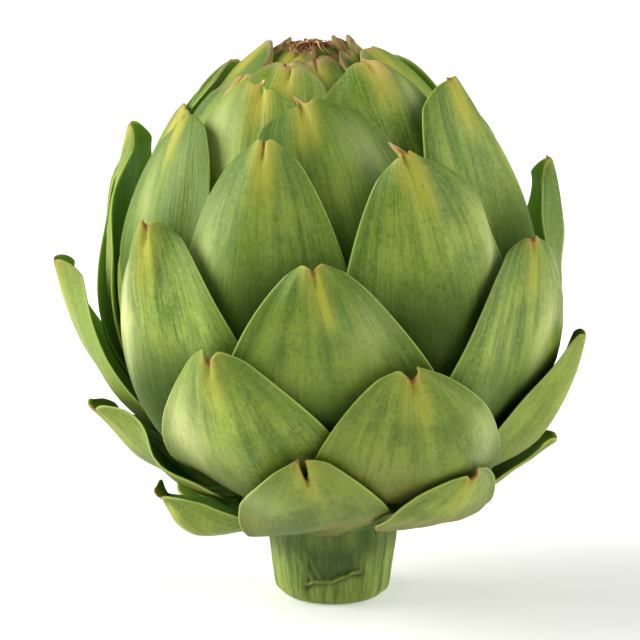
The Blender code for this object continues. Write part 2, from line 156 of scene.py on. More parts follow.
# Ends of single leaves: place -> (depth of the cleft in mm, where it is across, half its width across, height of
# the left lobe and of the right lobe in mm, length of the spine in mm, its lean in mm, how brown the cleft is).
PLAIN_END = (1, 0, 0.7, 0.1, 0.1, 0, 0, 0.6)
BUD_END = (0.8, 0, 0.7, 0.4, 0.4, 0, 0, 1)
ENDS = {
    0: (1.8, -0.1, 0.6, -0.1, 1.2, 0, 0, 1),
    3: (6.2, 0.06, 0.24, 0.6, -0.1, 0, 0, 1),
    5: (1, 0, 0.7, 0, 0.3, 0, 0, 0.8),
    6: (1.4, 0.05, 0.6, 0.6, -0.2, 0, 0, 1),
    8: (1.8, 0, 0.7, 0.3, 0.8, 0, 0, 1),
    9: (1.4, 0.1, 0.6, 0.7, 0, 0, 0, 1),
    10: (1.2, 0, 0.7, 0.2, 0.4, 0, 0, 0.8),
    11: (1.7, -0.06, 0.66, 0.6, 0.1, 0, 0, 1),
    13: (0.9, 0, 0.6, 0.2, 0.3, 0.2, 0, 1),
    14: (1.4, 0, 0.7, 0.4, 0, 0, 0, 0.9),
    16: (1.4, 0, 0.8, 0.4, 0.4, 0, 0, 0.8),
    18: (0.6, 0, 0.6, 0.2, 0.2, 0.6, 0.3, 1),
    19: (1.4, -0.04, 0.65, 0.2, 0.2, 0, 0, 0.9),
    21: (1, -0.1, 0.55, 0.1, 0.4, 3.2, -1.6, 1),
    24: (0.8, -0.03, 0.6, 0.2, 0.2, 0, 0, 0.8),
    26: (0.7, -0.2, 0.45, 0.1, 0.6, 0.4, -0.2, 0.9),
    27: (0.8, 0.1, 0.5, 0.4, 0.1, 0.5, 0.5, 0.9),
    29: (1.3, -0.14, 0.55, 0, 0.9, 2.8, -1, 1),
    32: (1.5, 0.2, 0.55, 1, 0.5, 2, 0.5, 1),
    34: (0.9, 0.1, 0.5, 0.8, 0.4, 1, 0.3, 1),
    37: (1.5, 0, 0.66, 0.9, 0.7, 1.2, 0.2, 1),
    39: (0.9, 0, 0.55, 0.3, 0.3, 0.8, 0.3, 1),
    40: (0.9, 0, 0.55, 0.3, 0.2, 0.8, -0.3, 1),
}

# Patches on single leaves: layer -> place -> (strength, across, below the tip, half width, half length, in
# mm). The pale patches on the sides of leaves are painted highlights.
PATCHES = {
    "stain": {26: (0.35, 2.5, 5, 1.6, 5), 32: (0.3, 0, 2, 1, 1.5), 34: (0.8, 2.6, 3, 2, 4.5)},
    "bloom": {3: (0.3, -8, 9, 5, 5), 8: (0.55, 14, 16, 6, 9), 11: (0.75, -13, 20, 6, 14), 13: (0.5, 7, 16, 3, 14),
              16: (0.3, 9, 12, 5, 6), 19: (0.7, -10, 22, 5, 22), 21: (0.65, 14, 22, 4, 15),
              24: (0.6, -13, 24, 4, 14), 26: (0.6, 8, 12, 3, 14), 27: (0.5, -7, 20, 4, 18),
              29: (0.4, 9, 10, 5, 6), 32: (0.5, -7, 10, 4, 8), 34: (0.5, 8, 10, 3, 8)},
    "flush": {40: (0.8, -1.5, 6, 1.8, 3.5), 43: (0.6, 0, 5, 2, 3)},
}

# How light single leaves are, from -1 to 1.
TONES = {0: 0.2, 3: -0.8, 6: -0.5, 8: -0.5, 9: 0, 10: 1, 11: -0.2, 14: 1, 16: -0.7, 19: 0, 22: 1, 24: -0.5, 27: -1,
         29: -1, 32: 1, 34: -0.1, 37: 1}

End = namedtuple("End", "depth at width left right spine lean brown")
Bract = namedtuple("Bract", "place azimuth root tip reach length half_angle taper power foot narrowest rounding "
                            "flesh lift sway belly end")


def along(place, stops):
    """Value at a place between (place, value) stops, on straight lines."""
    places, values = zip(*stops)
    return np.interp(place, places, values)


def soft_step(x):
    """0 below 0, 1 above 1 and 3x² - 2x³ in between."""
    x = np.clip(x, 0.0, 1.0)
    return x * x * (3.0 - 2.0 * x)


def bell(x, width):
    """1 at 0, falling to either side: e to the power of -(x / width)²."""
    return np.exp(-(x / width) ** 2)


def linear(*shade):
    """A colour given as 0 to 255 on screen, as light from 0 to 1: ((c + 0.055) / 1.055) to the power 2.4, with c
    the 255th part, or c / 12.92 where it is dark."""
    return tuple(c / 12.92 if c < 0.04045 else ((c + 0.055) / 1.055) ** 2.4 for c in (part / 255 for part in shade))


# ---- shape of the head

def core_distance(latitude):
    """Distance of the core's surface from the centre: radius + taper s + point s⁶ + tip s⁶⁰ above the centre and
    radius + taper s + base s⁶ below it, where s is the sine of the latitude."""
    s = np.sin(latitude)
    above, below = np.maximum(s, 0.0), np.maximum(-s, 0.0)
    return CORE_RADIUS + CORE_TAPER * s + CORE_POINT * above ** 6 + CORE_TIP * above ** 60 + CORE_BASE * below ** 6


def make_spiral():
    """Every leaf of the head, lowest first, each turned by the golden angle from the one before.

    A Bract's angles are in radians, its reach (the tip's distance from the centre), length, lift and belly in
    metres, its rounding and end in millimetres.
    """
    random = np.random.default_rng(SEED)
    spiral = []
    for place in range(LOOSE_BRACTS + BUD_BRACTS):
        chance = [random.normal(0, spread) for spread in CHANCE]
        turn, climb, rise, sway, broad, belly = ASIDE.get(place, (*chance, 1.0, 0.0))
        root = math.radians(along(place, ROOT_LATITUDE))
        tip = math.radians(along(place, TIP_LATITUDE) + climb)
        reach = float(core_distance(tip)) + STACK_DEPTH
        length = reach * (tip - root)
        width = along(place, BLADE_WIDTH) * broad * random.uniform(*WIDTH_CHANCE) * MM
        spiral.append(Bract(
            place=place, root=root, tip=tip, reach=reach, length=length,
            azimuth=math.radians(FIRST_AZIMUTH + place * DIVERGENCE + turn),
            half_angle=width / 2 / reach,
            taper=along(place, TAPER_LENGTH) * MM / length,
            power=along(place, ARCH_POWER),
            foot=along(place, FOOT_WIDTH),
            narrowest=along(place, NARROWEST),
            rounding=along(place, TIP_ROUNDING),
            flesh=along(place, FLESH),
            lift=max(0.0, along(place, TIP_LIFT) + rise) * MM,
            sway=math.radians(sway),
            belly=belly * MM,
            end=End(*ENDS.get(place, PLAIN_END if place < LOOSE_BRACTS else BUD_END))))
    return spiral


def half_width(bract, share):
    """Half the width in parts of the widest: a sine that widens the foot, times a pointed arch near the tip.

    The foot widens as foot + (1 - foot) sin(180° share) up to the middle. The arch is narrowest + (1 - narrowest)
    times (1 - (1 - n) to the power) to the 0.8, where n is the share left to the tip in parts of the taper.
    """
    foot = bract.foot + (1.0 - bract.foot) * np.sin(np.pi * np.clip(share, 0.0, 0.5))
    near = np.clip((1.0 - share) / bract.taper, 0.0, 1.0)
    arch = bract.narrowest + (1.0 - bract.narrowest) * (1.0 - (1.0 - near) ** bract.power) ** 0.8
    return foot * arch


def on_neck(points):
    """Points with the head tilted about the neck: a turn about Y that grows smoothly up the neck."""
    x, z = points[:, 0], points[:, 2] - NECK_HEIGHT
    angle = math.radians(HEAD_TILT) * soft_step(1.0 + z / (NECK_BEND * NECK_HEIGHT))
    c, s = np.cos(angle), np.sin(angle)
    return np.stack([c * x + s * z, points[:, 1], NECK_HEIGHT + c * z - s * x], axis=1)


def axes_of(bract):
    """Horizontal unit vectors outward along the leaf's midline and sideways across it."""
    a = bract.azimuth
    return np.array([math.sin(a), -math.cos(a), 0.0]), np.array([math.cos(a), math.sin(a), 0.0])


def crowned(across):
    """How a leaf thins from its midline to its sides: e to the power of -crown across²."""
    return np.exp(-CROWN * across ** 2)


def full_thickness(bract, share):
    """Thickness of the flesh on the midline and of the gap over it: the stops along the leaf times its flesh."""
    return bract.flesh * along(share, THICKNESS) * MM + LAYER_GAP


def rise_of(bract, share):
    """How far the midline stands off what is under it: lift times share³, plus belly times sin²(180° share)."""
    return bract.lift * share ** 3 + bract.belly * np.sin(math.pi * np.clip(share, 0.0, 1.0)) ** 2


def room_over(bract, ray):
    """Room that a leaf takes from all outside it, in each direction: its full thickness and rise, thinning to its
    sides, and fading past its root and its tip."""
    outward, sideways = axes_of(bract)
    latitude = np.arctan2(ray[:, 2], ray @ outward)
    share = (latitude - bract.root) / (bract.tip - bract.root)
    held = np.clip(share, 0.0, 1.0)
    width = bract.half_angle * np.maximum(half_width(bract, held), LEAST_ROOM)
    across = (np.arcsin(np.clip(ray @ sideways, -1.0, 1.0)) - bract.sway * held ** 2) / width
    full = full_thickness(bract, held) + rise_of(bract, held)
    ends = soft_step(1.0 + share / ROOT_FADE) * soft_step(1.0 - (share - 1.0) / TIP_FADE)
    return np.where(np.abs(latitude) < math.radians(100), full * crowned(across) * ends, 0.0)


def room_under(spiral, place, ray):
    """Distance from the centre to the top of everything under a leaf: the core plus each younger leaf's room."""
    distance = core_distance(np.arcsin(np.clip(ray[:, 2], -1.0, 1.0))) + 2.0 * LAYER_GAP
    for other in spiral[place + 1:]:
        distance = distance + room_over(other, ray)
    return distance


# ---- fine leaf

# Where a leaf's points are: shares along it, closer near the tip, and parts of its half width.
ROWS = np.concatenate([np.linspace(0.0, 0.7, 16)[:-1], np.linspace(0.7, 0.94, 12)[:-1],
                       [0.94, 0.955, 0.968, 0.978, 0.986, 0.992, 0.997, 1.0]])
HALF_COLUMNS = np.sin(np.linspace(0.0, math.pi / 2.0, 37))
COLUMNS = np.concatenate([-HALF_COLUMNS[:0:-1], HALF_COLUMNS])


def end_drop(bract, across):
    """How far each column ends short of the tip: a round shoulder and a cleft, less a bell for each lobe and one
    for the spine.

    The shoulder is its rounding times 1 - √(1 - across²). The cleft is its depth times 1 - sin(90° u), where u runs
    from 0 in its middle to 1 at the tops of the lobes.
    """
    end, off = bract.end, across - bract.end.at
    shoulder = bract.rounding * (1.0 - np.sqrt(np.clip(1.0 - across ** 2, 0.0, 1.0)))
    lobes = end.left * bell(off + end.width, LOBE_WIDTH) + end.right * bell(off - end.width, LOBE_WIDTH)
    cleft = end.depth * (1.0 - np.sin(math.pi / 2.0 * np.minimum(np.abs(off) / end.width, 1.0)))
    thorn = (end.depth + end.spine) * np.exp(-np.abs(off / THORN_WIDTH) ** 1.6) if end.spine else 0.0
    return (shoulder - lobes + cleft - thorn) * MM


def relief_of(bract, share, across, edge, ripple, phases):
    """Fine relief of the outer face, fading to the margin: flutes that are cosines across and along the leaf, each
    with its own phase, less a furrow that widens out of the cleft."""
    flutes = (np.cos(across * 9.0 + phases[0]) + 0.6 * np.cos(across * 17.0 + phases[1])
              + 0.9 * np.cos(across * 2.4 + share * 5.0 + phases[2]) + 0.5 * np.cos(share * 11.0 + phases[3]))
    furrow = bell(across - bract.end.at, FURROW_WIDTH) * soft_step((share - 0.7) / 0.28)
    depth = FURROW_DEPTH * MM * min(bract.end.depth, DEEPEST_CLEFT)
    return ripple * flutes * np.clip(edge / (FLUTE_FADE * MM), 0.0, 1.0) - depth * furrow


def patch_on(patches, place, across, below):
    """A soft oval patch: a bell across the leaf times a bell below its tip, in millimetres, or none."""
    strength, x, y, half_across, half_along = patches.get(place, (0.0, 0.0, 0.0, 1.0, 1.0))
    return strength * np.exp(-((across - x) / half_across) ** 2 - ((below - y) / half_along) ** 2)


def blade_surface(spiral, bract, ripple):
    """A leaf as a closed pillow, over a grid of (share along it from root to tip, across it from -1 to 1).

    A point's direction from the centre climbs from the root's latitude to the tip's by its share, and turns to its
    side by across times the half width, plus the sway times share², plus the spine's lean. Its distance is the room
    under the leaf, plus the leaf's rise, plus half its thickness. The two faces stand half the thickness either
    side of that, times √(1 - (1 - d)²), where d runs from 0 at the margin to 1 a little way in, so that the margin
    is round and both faces meet on it.
    """
    share, across = (a.ravel() for a in np.meshgrid(ROWS, COLUMNS, indexing="ij"))
    end, off = bract.end, across - bract.end.at
    random = np.random.default_rng(SEED * 100 + bract.place)
    phases = random.uniform(0.0, 2.0 * math.pi, 4)
    tone = TONES.get(bract.place, random.uniform(-1.0, 1.0))

    drawn = share - soft_step((share - 0.72) / 0.28) * end_drop(bract, across) / bract.length
    width = bract.half_angle * half_width(bract, drawn)
    latitude = bract.root + (bract.tip - bract.root) * drawn
    lean = end.lean * MM / bract.length * (bract.tip - bract.root) * soft_step((share - 0.93) / 0.07)
    turn = width * across + bract.sway * drawn ** 2 + lean * bell(off, LEAN_WIDTH)
    outward, sideways = axes_of(bract)
    ray = (np.cos(turn) * np.cos(latitude))[:, None] * outward + (np.cos(turn) * np.sin(latitude))[:, None] * UP
    ray = ray + np.sin(turn)[:, None] * sideways

    thick = np.maximum(full_thickness(bract, share) * crowned(across) - LAYER_GAP, THINNEST)
    thick = thick * (1.0 - 0.7 * bell(off, SLIM_WIDTH) * soft_step((share - 0.93) / 0.05))
    middle = room_under(spiral, bract.place, ray) + rise_of(bract, share) * crowned(across) + thick / 2.0
    before = (1.0 - share) * bract.length
    edge = np.minimum((1.0 - np.abs(across)) * width * bract.reach, before)
    d = np.clip(edge / (MARGIN_ROUNDING * MM), 0.0, 1.0)
    rounding = np.sqrt(np.clip(1.0 - (1.0 - d) ** 2, 0.0, 1.0))
    relief = relief_of(bract, share, across, edge, ripple, phases)
    sink = BUD_SINK if bract.place >= LOOSE_BRACTS else 0.0
    outer = ray * (middle + rounding * thick / 2.0 + relief)[:, None]
    inner = ray * (middle - rounding * (thick / 2.0 + sink))[:, None]
    points = on_neck(np.concatenate([outer, inner]) + CENTRE_HEIGHT * UP)

    count = len(share)
    rim = (share <= 0.0) | (share >= 1.0) | (np.abs(across) >= 1.0)
    outside = np.arange(count).reshape(len(ROWS), len(COLUMNS))
    inside = np.where(rim, np.arange(count), np.arange(count) + count).reshape(outside.shape)
    faces = np.concatenate([grid_faces(outside), grid_faces(inside)[:, ::-1]])

    beside, below = across * width * bract.reach / MM, before / MM
    spine = bell(off, SPINE_WIDTH) * soft_step((share - 0.965) / 0.03) * (end.spine > LONG_SPINE)
    layers = {"across": across, "share": drawn, "mid": off * width * bract.reach / MM, "tip": below,
              "edge": edge / MM, "spine": spine, "tone": np.full(count, tone), "brown": np.full(count, end.brown),
              "place": np.full(count, bract.place / LOOSE_BRACTS)}
    for name, patches in PATCHES.items():
        layers[name] = patch_on(patches, bract.place, beside, below)
    layers = {name: np.concatenate([values, values]) for name, values in layers.items()}
    layers["inside"] = np.concatenate([np.where(rim, 0.5, 0.0), np.ones(count)])
    return points, faces, layers


def grid_faces(index):
    """Faces between neighbours of a grid of point numbers."""
    return np.stack([index[:-1, :-1], index[:-1, 1:], index[1:, 1:], index[1:, :-1]], axis=-1).reshape(-1, 4)


def ring_faces(rings, sides):
    """Faces between rings of a number of sides, and between the first and last ring and the pole at that end."""
    index = 1 + np.arange(rings * sides).reshape(rings, sides)
    index = np.concatenate([index, index[:, :1]], axis=1)
    first, last = np.zeros((1, sides + 1), int), np.full((1, sides + 1), rings * sides + 1)
    return grid_faces(np.concatenate([first, index, last]))


def merged(parts):
    """Several (points, faces, layers) surfaces as one."""
    starts = np.cumsum([0] + [len(p[0]) for p in parts[:-1]])
    points = np.concatenate([p[0] for p in parts])
    faces = np.concatenate([p[1] + start for p, start in zip(parts, starts)])
    layers = {name: np.concatenate([p[2][name] for p in parts]) for name in parts[0][2]}
    return points, faces, layers


def add_object(name, data):
    """An object in the scene's collection."""
    item = bpy.data.objects.new(name, data)
    bpy.context.scene.collection.objects.link(item)
    return item


def make_piece(name, surface, material, node=None):
    """An object at the origin from a (points, faces, layers) surface, with unused points dropped and each layer an
    attribute. Faces with a corner twice, which are those at a pole, are dropped by validate, so a pole stays open."""
    points, faces, layers = surface
    used, faces = np.unique(faces, return_inverse=True)
    mesh = bpy.data.meshes.new(name)
    mesh.from_pydata(points[used].tolist(), [], faces.reshape(-1, 4).tolist())
    for label, values in layers.items():
        mesh.attributes.new(label, "FLOAT", "POINT").data.foreach_set("value", values[used].astype(np.float32))
    mesh.shade_smooth()
    mesh.materials.append(material)
    mesh.validate()
    piece = add_object(name, mesh)
    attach(piece, "root")
    if node:
        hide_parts(node)
    return piece


# ---- shader maths

class Value:
    """A node's output in an expression: the signs add Math nodes, and numbers may stand on either side."""

    def __init__(self, shader, socket):
        self.shader, self.socket = shader, socket

    def maths(self, operation, *terms):
        return self.shader.node("ShaderNodeMath", {"operation": operation}, dict(enumerate(terms)))

    def __add__(self, other):
        return self.maths("ADD", self, other)

    def __sub__(self, other):
        return self.maths("SUBTRACT", self, other)

    def __rsub__(self, other):
        return self.maths("SUBTRACT", other, self)

    def __mul__(self, other):
        return self.maths("MULTIPLY", self, other)

    def __pow__(self, other):
        return self.maths("POWER", self, other)

    __radd__, __rmul__ = __add__, __mul__

    def size(self):
        return self.maths("ABSOLUTE", self)

    def least(self, other):
        return self.maths("MINIMUM", self, other)

    def step(self, low, high):
        """0 at low, 1 at high, smooth between; low may be the larger."""
        return self.shader.node("ShaderNodeMapRange", {"interpolation_type": "SMOOTHSTEP"},
                                {"Value": self, "From Min": low, "From Max": high})


class Shader:
    """A material whose nodes are added by expressions."""

    def __init__(self, name):
        self.material = bpy.data.materials.new(name)
        self.material.use_nodes = True
        self.tree = self.material.node_tree
        self.surface = self.tree.nodes["Principled BSDF"]

    def node(self, kind, settings, sockets, output=0):
        """A node of a type: its settings first, then the values or links of its sockets; gives one output."""
        node = self.tree.nodes.new(kind)
        for name, value in settings.items():
            setattr(node, name, value)
        for name, value in sockets.items():
            self.feed(node.inputs[name], value)
        return Value(self, node.outputs[output])

    def feed(self, socket, value):
        """Link or set one socket."""
        if isinstance(value, Value):
            self.tree.links.new(value.socket, socket)
        elif socket.type == "RGBA" and len(value) == 3:
            socket.default_value = (*value, 1.0)
        else:
            socket.default_value = value

    def layers(self, *names):
        """Attributes of the piece's own mesh."""
        return [self.node("ShaderNodeAttribute", {"attribute_name": name}, {}, "Fac") for name in names]

    def spot(self):
        """The point's own place in metres."""
        return self.node("ShaderNodeTexCoord", {}, {}, "Object")

    def vector(self, x, y, z):
        return self.node("ShaderNodeCombineXYZ", {}, {"X": x, "Y": y, "Z": z})

    def noise(self, vector, scale, detail, roughness):
        return self.node("ShaderNodeTexNoise", {},
                         {"Vector": vector, "Scale": scale, "Detail": detail, "Roughness": roughness})

    def dots(self, vector, scale):
        """Distance to the nearest of scattered points."""
        return self.node("ShaderNodeTexVoronoi", {}, {"Vector": vector, "Scale": scale}, "Distance")

    def mix(self, factor, first, second):
        return self.node("ShaderNodeMix", {"data_type": "RGBA"}, {0: factor, 6: first, 7: second}, 2)

    def coats(self, colour, *coats):
        """A colour with (mask, colour) coats laid over it in turn."""
        for mask, coat in coats:
            colour = self.mix(mask, colour, coat)
        return colour

    def bump(self, height, strength, distance):
        return self.node("ShaderNodeBump", {}, {"Height": height, "Strength": strength, "Distance": distance})

    def finish(self, **sockets):
        """Feed the surface's own sockets, named with _ for a space."""
        for name, value in sockets.items():
            self.feed(self.surface.inputs[name.replace("_", " ").title().replace("Ior", "IOR")], value)
        return self.material


def leaf_material(name, colours, dryness):
    """Skin of a leaf, laid on in coats.

    Soft bands, veins, fibres and grain come first, then painted highlights on the sides of some leaves, a deeper
    border, painted shade down the foot, gold and a yellow streak under the cleft, specks, blotches low on the head,
    painted shade lower down the lowest leaves, the inner face with painted light paler towards its margin, the pale
    margin, the brown cleft, the patches of single leaves and the bud's dry margins. The inner face has a painted glow
    near its tip, for light that comes through the thin leaf.
    """
    s = Shader(name)
    across, share, mid, tip, edge, inside = s.layers("across", "share", "mid", "tip", "edge", "inside")
    tone, place, brown, bloom, stain, flush, spine = s.layers(
        "tone", "place", "brown", "bloom", "stain", "flush", "spine")
    spot = s.spot()
    own = tone * 19.0 + place * 47.0
    bands = s.noise(s.vector(across * 7.0, share * 1.6, own), 1.0, 3.0, 0.55)
    veins = s.noise(s.vector(across * 24.0, share * 5.0, own + 5.0), 1.0, 3.0, 0.6)
    fibres = s.noise(s.vector(across * 60.0, share * 14.0, own + 9.0), 1.0, 3.0, 0.65)
    cloud = s.noise(spot, 95.0, 4.0, 0.6)
    patch = s.noise(spot, 38.0, 2.0, 0.5)
    grit = s.noise(spot, 1100.0, 2.0, 0.6)

    low = place.step(0.34, 0.10)
    middle = tip.step(4.0, 12.0) * tip.step(34.0, 18.0) * edge.step(1.5, 7.0)
    border = (edge + (patch - 0.5) * 6.0).step(4.0, 0.8)
    # Painted shade: darker down each leaf's foot, where the leaves in front overlap and shade it.
    foot = (tip + (bands - 0.5) * 14.0).step(17.0, 34.0) * (1.0 - low * 0.8)
    skin = s.coats(
        s.mix(bands.step(0.34, 0.66), colours.leaf_deep, colours.leaf_mid),
        (low * 0.45, colours.leaf_olive),
        (middle * (cloud * 0.6 + bands * 0.4).step(0.40, 0.62) * 0.55, colours.leaf_light),
        (veins.step(0.50, 0.72) * cloud.step(0.35, 0.60) * 0.45, colours.leaf_light),
        (veins.step(0.50, 0.28) * patch.step(0.35, 0.60) * 0.48, colours.leaf_dark),
        (fibres.step(0.52, 0.74) * 0.26, colours.bloom),
        (fibres.step(0.46, 0.26) * 0.35, colours.leaf_dark),
        (grit.step(0.52, 0.70) * 0.25, colours.leaf_light),
        (grit.step(0.46, 0.30) * 0.30, colours.leaf_dark),
        # Painted highlight: pale patches on the sides of single leaves.
        (bloom * (fibres * 0.9 + cloud * 0.6).step(0.30, 0.85), colours.painted_highlight),
        (border * 0.25, colours.leaf_deep),
        # Painted shade at the foot.
        (foot * (place.step(0.60, 0.50) * 0.16 + 0.70), colours.leaf_dark),
        (tone.step(0.0, 1.0) * 0.28, colours.leaf_light),
        (tone.step(0.0, -1.0) * 0.40, colours.leaf_deep))

    # Under the cleft, then specks and blotches.
    off = (mid + (patch - 0.5) * 5.0).size()
    golden = off.step(4.2, 0.4) * tip.step(15.0, 4.0) * (0.45 + cloud * 0.9) * (place.step(0.30, 0.60) * 0.6 + 0.4)
    streak = (mid - tip * 0.14 + (bands - 0.5) * 0.8).size().step(1.1, 0.6)
    streak = streak * tip.step(12.5, 8.5) * place.step(0.55, 0.42)
    streak = streak * (place.step(0.28, 0.34) * place.step(0.42, 0.38) * 0.6 + 0.35)
    speckle = s.dots(spot, 560.0).step(0.16, 0.05) * cloud.step(0.42, 0.60)
    blotch = low * share.step(0.70, 0.42) * (cloud * 0.6 + grit * 0.4).step(0.46, 0.58)
    skin = s.coats(
        skin,
        ((golden * 0.72).least(1.0), colours.leaf_gold),
        (streak * (0.40 + cloud * 0.8), colours.streak),
        (speckle * 0.55, colours.speckle),
        (low * cloud.step(0.50, 0.36) * 0.35, colours.leaf_dark),
        # Painted shade: the lowest leaves darker further down from their tips.
        (low * (tip + (patch - 0.5) * 14.0).step(7.0, 22.0) * 0.38, colours.leaf_dark),
        (low * patch.step(0.50, 0.64) * 0.12, colours.leaf_gold),
        (blotch * 0.55, colours.blush))

    # Inner face, margin, cleft, and what single leaves have.
    inner = s.coats(
        s.mix(veins.step(0.3, 0.7), colours.inside_dark, colours.inside_light),
        # Painted light: the inner face paler towards its margin, for light coming through the thin margin.
        ((edge + (bands - 0.5) * 3.0).step(3.5, 0.5) * 0.75, colours.leaf_mid))
    rim = (edge + (grit - 0.5) * 0.25).step(0.50, 0.18)
    away = ((mid * mid * 0.55 + tip * tip * 0.30) ** 0.5) + (cloud - 0.5) * 1.2 + (grit - 0.5) * 0.6
    crown = place.step(0.70, 0.95) * (tip + (cloud - 0.5) * 6.0).step(2.4, 0.4)
    patchy = cloud.step(0.30, 0.60)
    skin = s.coats(
        skin,
        (inside.step(0.5, 0.8), inner),
        (rim * (0.20 + cloud * 0.6), colours.margin),
        (away.step(1.3, 0.5) * brown * 0.55, colours.tan),
        (away.step(0.75, 0.30) * brown * 0.80, colours.dead),
        (stain * patchy, colours.husk),
        (flush * patchy, colours.pink),
        (spine.step(0.45, 0.90) * 0.85, colours.husk),
        (crown * 0.28, colours.pink))
    if dryness > 0.0:
        skin = s.coats(
            skin,
            ((edge + (cloud - 0.5) * 5.0).step(1.1, 0.2) * dryness, colours.blush),
            (place.step(1.10, 1.22) * tip.step(5.0, 0.5) * 0.8, colours.dead))

    relief = veins * 0.50 + fibres * 0.35 + grit * 0.15
    rough = 0.42 + fibres * 0.12 + cloud * 0.10 + inside * 0.10 + foot * 0.35
    lit = inside.step(0.5, 0.8) * place.step(0.27, 0.32) * (tip.step(45.0, 3.0) * 0.7 + edge.step(4.0, 0.0) * 0.3)
    return s.finish(base_color=skin, roughness=rough, normal=s.bump(relief, 0.5, 0.0006), specular_ior_level=0.27,
                    emission_color=s.mix(lit, (0.0, 0.0, 0.0), colours.inside_light), emission_strength=0.30)


def stem_material(colours):
    """Skin of the stem: long soft bands and fibres, painted shade in the hollow over the scar and down the groove,
    painted shade under the head, paler cords, a pale lip and a dark line under it, the heart painted dark as shade,
    and the pale flesh of the cut."""
    s = Shader("stem skin")
    height, around, scar, cut, lip, shade, cord = s.layers(
        "height", "around", "scar", "cut", "lip", "shade", "cord")
    spot = s.spot()
    fibres = s.noise(s.vector(around * 22.0, height * 0.16, 0.0), 1.0, 4.0, 0.6)
    bands = s.noise(s.vector(around * 3.2, height * 0.04, 3.0), 1.0, 2.0, 0.5)
    cloud = s.noise(spot, 220.0, 3.0, 0.6)
    ring = s.noise(spot, 600.0, 3.0, 0.7)
    flesh = s.mix(ring.step(0.35, 0.7), colours.flesh, colours.leaf_olive)
    skin = s.coats(
        s.mix(bands.step(0.36, 0.64), colours.stem_mid, colours.stem_light),
        (fibres.step(0.48, 0.72) * 0.45, colours.bloom),
        (fibres.step(0.48, 0.30) * 0.42, colours.stem_dark),
        # Painted shade in the hollow over the scar and down the groove.
        (shade * (0.45 + cloud * 0.7), colours.stem_dark),
        # Painted shade: the stem darker towards its top, under the head.
        (height.step(8.0, 14.0) * 0.55, colours.stem_dark),
        (cord * 0.40, colours.stem_light),
        (height.step(2.2, 0.4) * cloud.step(0.35, 0.65) * 0.5, colours.leaf_olive),
        # Painted shade: the heart, deep under the leaves, painted dark.
        (height.step(18.0, 21.0), colours.inside_dark),
        (lip * cloud.step(0.35, 0.60) * 0.34, colours.leaf_gold),
        (scar * cloud.step(0.20, 0.50), colours.speckle),
        (cut, flesh))
    relief = fibres * 0.8 + cloud * 0.2
    return s.finish(base_color=skin, roughness=0.48 + fibres * 0.12, normal=s.bump(relief, 0.4, 0.0006),
                    specular_ior_level=0.25)


def fibre_material(colours):
    """Dry tan and brown fibres."""
    s = Shader("dry tuft")
    tint, = s.layers("tint")
    cloud = s.noise(s.spot(), 500.0, 2.0, 0.6)
    colour = s.mix((tint + (cloud - 0.5) * 0.6).step(0.62, 1.0), colours.dead, colours.husk)
    return s.finish(base_color=colour, roughness=0.75, normal=s.bump(cloud, 0.3, 0.0003))


def floor_material(colours):
    """A pale matt floor with a faint, wide unevenness, lit a little from itself."""
    s = Shader("pale floor")
    pale = s.mix(s.noise(s.spot(), 3.0, 2.0, 0.5), colours.floor, (0.90, 0.90, 0.89))
    return s.finish(base_color=pale, roughness=0.8, emission_color=pale, emission_strength=0.25)


# ---- stem, core and tuft

def latitude_at(height):
    """Latitude at which the core's surface crosses a height, by halving."""
    low, high = -math.pi / 2, math.pi / 2
    for _ in range(40):
        middle = (low + high) / 2
        if CENTRE_HEIGHT + core_distance(middle) * math.sin(middle) < height:
            low = middle
        else:
            high = middle
    return low


def turned(radius, height, sides):
    """A surface turned about Z: a ring of points for each (radius, height) stop, a pole at either end."""
    angle = np.arange(sides) * 2.0 * math.pi / sides
    r, a = (g.ravel() for g in np.meshgrid(radius[1:-1], angle, indexing="ij"))
    z = np.repeat(height[1:-1], sides)
    points = np.concatenate([[(0.0, 0.0, height[0])], np.stack([r * np.sin(a), -r * np.cos(a), z], axis=1),
                             [(0.0, 0.0, height[-1])]])
    return points, ring_faces(len(radius) - 2, sides)


def stem_radius(height):
    """The stem's radius at a height: a straight taper, less a quarter round at the cut edge."""
    taper = STEM_CUT_RADIUS + (STEM_TOP_RADIUS - STEM_CUT_RADIUS) * height / STEM_TOP_HEIGHT
    left = np.clip(1.0 - height / CUT_ROUNDING_HEIGHT, 0.0, 1.0)
    return taper - CUT_ROUNDING * (1.0 - np.sqrt(np.clip(1.0 - left ** 2, 0.0, 1.0)))


def scar_on(side, height):
    """The scar of a cut leaf, from the distance round the stem and the height up it, both in millimetres.

    Slant is the height over a sloping, slightly wavy line. The ledge is a bell on that line, less a hollow over it
    and a bell under it. Two leaning cords and one upright, each a bell, rise over the line, and the groove, a bell
    too, runs down from it. Gives the reliefs, each about 1 high, and how dark, pale, painted with shade and corded
    the skin is.
    """
    slant = height - SCAR_HEIGHT - SCAR_SLOPE * side + 0.22 * np.cos(side / 1.1) + 0.1 * np.cos(side / 0.4)
    beside = soft_step((SCAR_HALF_WIDTH - np.abs(side)) / 1.2)
    hollow = beside * soft_step((slant - 0.3) / 0.6) * soft_step((16.0 - height) / 6.0)
    ledge = beside * bell(slant, 0.45) - 0.9 * hollow - 0.3 * bell(slant + 1.0, 0.35)
    groove = bell(side - 0.5, 0.35) * soft_step(-slant)
    lean = side + 0.5 * (height - SCAR_HEIGHT)
    cords = bell(lean + 4.6, 0.5) + 0.8 * bell(lean + 2.6, 0.4) + 0.6 * bell(side - 4.4, 0.5)
    cords = cords * soft_step(slant) * soft_step((14.0 - height) / 3.0)
    corners = bell(np.abs(side) - SCAR_HALF_WIDTH + 0.4, 0.8) * bell(slant + 0.6, 0.8)
    above = beside * soft_step(slant / 0.8) * soft_step((15.0 - height) / 4.0)
    return ledge, groove, cords, {
        "scar": corners + 0.9 * beside * bell(slant + 0.55, 0.42),
        "lip": beside * bell(slant - 0.12, 0.24),
        "shade": above + 0.7 * groove,
        "cord": cords}


